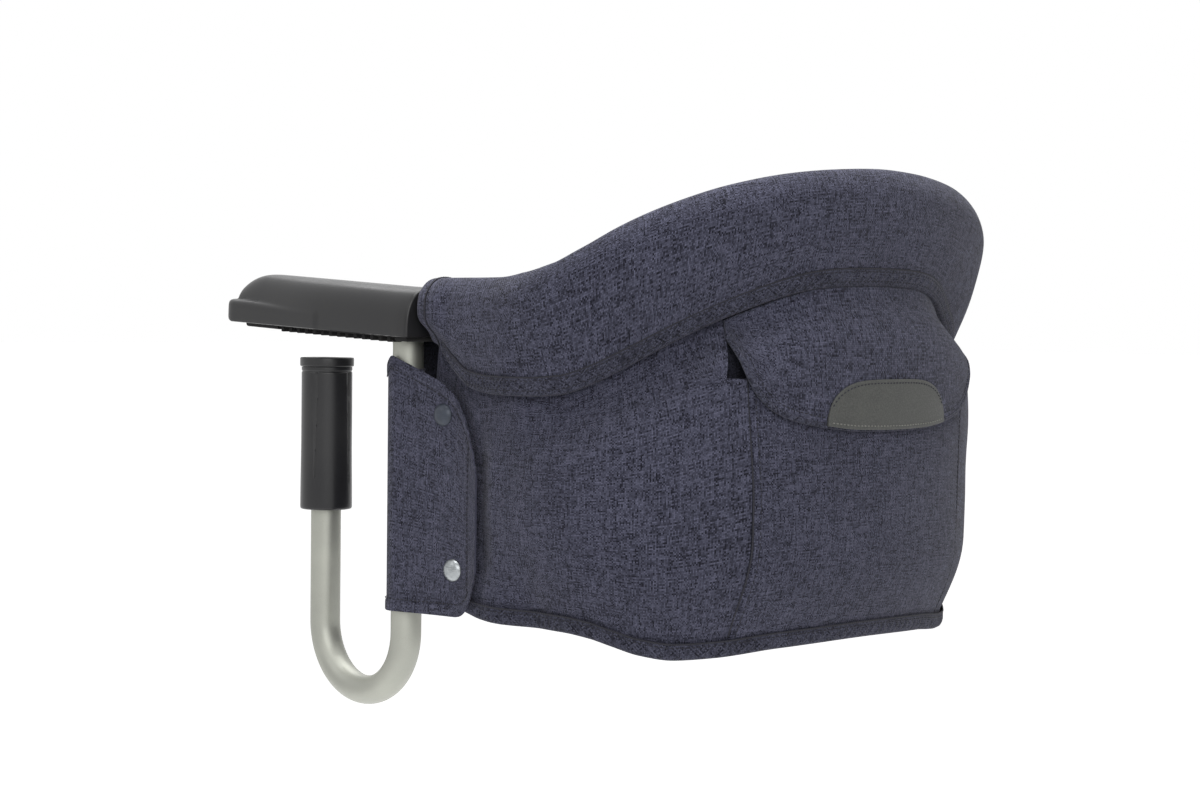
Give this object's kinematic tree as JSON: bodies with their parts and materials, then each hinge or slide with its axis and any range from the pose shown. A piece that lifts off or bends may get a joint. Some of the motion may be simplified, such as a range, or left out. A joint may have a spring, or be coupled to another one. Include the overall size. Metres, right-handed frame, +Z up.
{
  "type": "hook-on table chair",
  "caption": "Padded fabric bucket seat on a bent back hoop, held to a table edge by folding arms with hooked tubes and twist-grip screw clamps, with a flapped back pocket",
  "frame": {"origin": "midway between the axes of the two rear legs, in the plane of the table top at those legs", "axes": "+X to the chair's right side, +Y from the table to the chair's back, +Z up"},
  "size_m": [0.386, 0.3772, 0.3179],
  "materials": {
    "tube_paint": "warm silver-grey satin paint on steel tube",
    "moulded_plastic": "dark grey satin moulded plastic",
    "pad_rubber": "black ribbed rubber",
    "bright_steel": "plain steel",
    "seat_fabric": "dark navy-charcoal melange weave",
    "binding_tape": "folded binding tape in the seat's colour",
    "snap_metal": "blue-grey snap caps",
    "patch_leather": "dark grey-olive leather, bare",
    "seat_board": "black sheet plastic",
    "belt_webbing": "black woven webbing"
  },
  "bodies": {
    "seat": {"back_hoop": "tube_paint", "right_hinge_collar": "moulded_plastic", "left_hinge_collar": "moulded_plastic", "right_hinge_pin": "bright_steel", "left_hinge_pin": "bright_steel", "rim_cover": "seat_fabric", "rim_binding": "binding_tape", "right_side_panel": "seat_fabric", "left_side_panel": "seat_fabric", "back_panel": "seat_fabric", "pocket_panel": "seat_fabric", "loop_strip": "belt_webbing", "base_binding": "binding_tape", "right_side_flap": "seat_fabric", "left_side_flap": "seat_fabric", "right_snap_upper": "snap_metal", "right_snap_lower": "snap_metal", "left_snap_upper": "snap_metal", "left_snap_lower": "snap_metal"},
    "right_clamp": {"right_clamp_tube": "tube_paint", "right_arm_shell": "moulded_plastic", "right_arm_pad": "pad_rubber", "right_arm_screw_front": "bright_steel", "right_arm_screw_rear": "bright_steel", "right_hinge_knuckle": "bright_steel", "right_leg_nut": "bright_steel", "right_leg_sleeve": "seat_fabric"},
    "left_clamp": {"left_clamp_tube": "tube_paint", "left_arm_shell": "moulded_plastic", "left_arm_pad": "pad_rubber", "left_arm_screw_front": "bright_steel", "left_arm_screw_rear": "bright_steel", "left_hinge_knuckle": "bright_steel", "left_leg_nut": "bright_steel", "left_leg_sleeve": "seat_fabric"},
    "right_cap": {"right_grip_cap": "moulded_plastic"},
    "left_cap": {"left_grip_cap": "moulded_plastic"},
    "right_grip": {"right_grip_sleeve": "moulded_plastic", "right_thread_rod": "bright_steel"},
    "left_grip": {"left_grip_sleeve": "moulded_plastic", "left_thread_rod": "bright_steel"},
    "seat_base": {"base_panel": "seat_fabric", "seat_board": "seat_board", "seat_cushion": "seat_fabric", "crotch_strap": "belt_webbing", "right_waist_belt": "belt_webbing", "left_waist_belt": "belt_webbing", "belt_buckle": "moulded_plastic"},
    "flap": {"pocket_flap": "seat_fabric", "flap_patch": "patch_leather", "hook_strip": "belt_webbing"}
  },
  "joints": [
    {"name": "right_fold", "type": "hinge", "parent": "seat", "child": "right_clamp", "pos_m": [0.172, 0.03, 0.02], "axis": [0, 1, 0], "range_deg": [0, 90]},
    {"name": "left_fold", "type": "hinge", "parent": "seat", "child": "left_clamp", "pos_m": [-0.172, 0.03, 0.02], "axis": [0, -1, 0], "range_deg": [0, 72]},
    {"name": "base_rise", "type": "slide", "parent": "seat", "child": "seat_base", "axis": [0, 0, 1], "range_m": [0, 0.112]},
    {"name": "right_screw", "type": "slide", "parent": "right_clamp", "child": "right_cap", "axis": [0, 0, 1], "range_m": [-0.062, 0]},
    {"name": "right_twist", "type": "hinge", "parent": "right_cap", "child": "right_grip", "pos_m": [0.172, -0.076, -0.06], "axis": [0, 0, 1], "range_deg": [-1862, 0]},
    {"name": "left_screw", "type": "slide", "parent": "left_clamp", "child": "left_cap", "axis": [0, 0, 1], "range_m": [-0.062, 0]},
    {"name": "left_twist", "type": "hinge", "parent": "left_cap", "child": "left_grip", "pos_m": [-0.172, -0.076, -0.06], "axis": [0, 0, 1], "range_deg": [-1862, 0]},
    {"name": "flap_lift", "type": "hinge", "parent": "seat", "child": "flap", "pos_m": [0, 0.2065, 0.034], "axis": [1, 0, 0], "range_deg": [0, 70]}
  ],
  "couplings": [
    {"joint": "left_fold", "follows": "right_fold", "ratio": 0.8},
    {"joint": "base_rise", "follows": "right_fold", "m_per_rad": 0.0713},
    {"joint": "right_twist", "follows": "right_screw", "rad_per_m": 523.6},
    {"joint": "left_twist", "follows": "left_screw", "rad_per_m": 523.6}
  ]
}
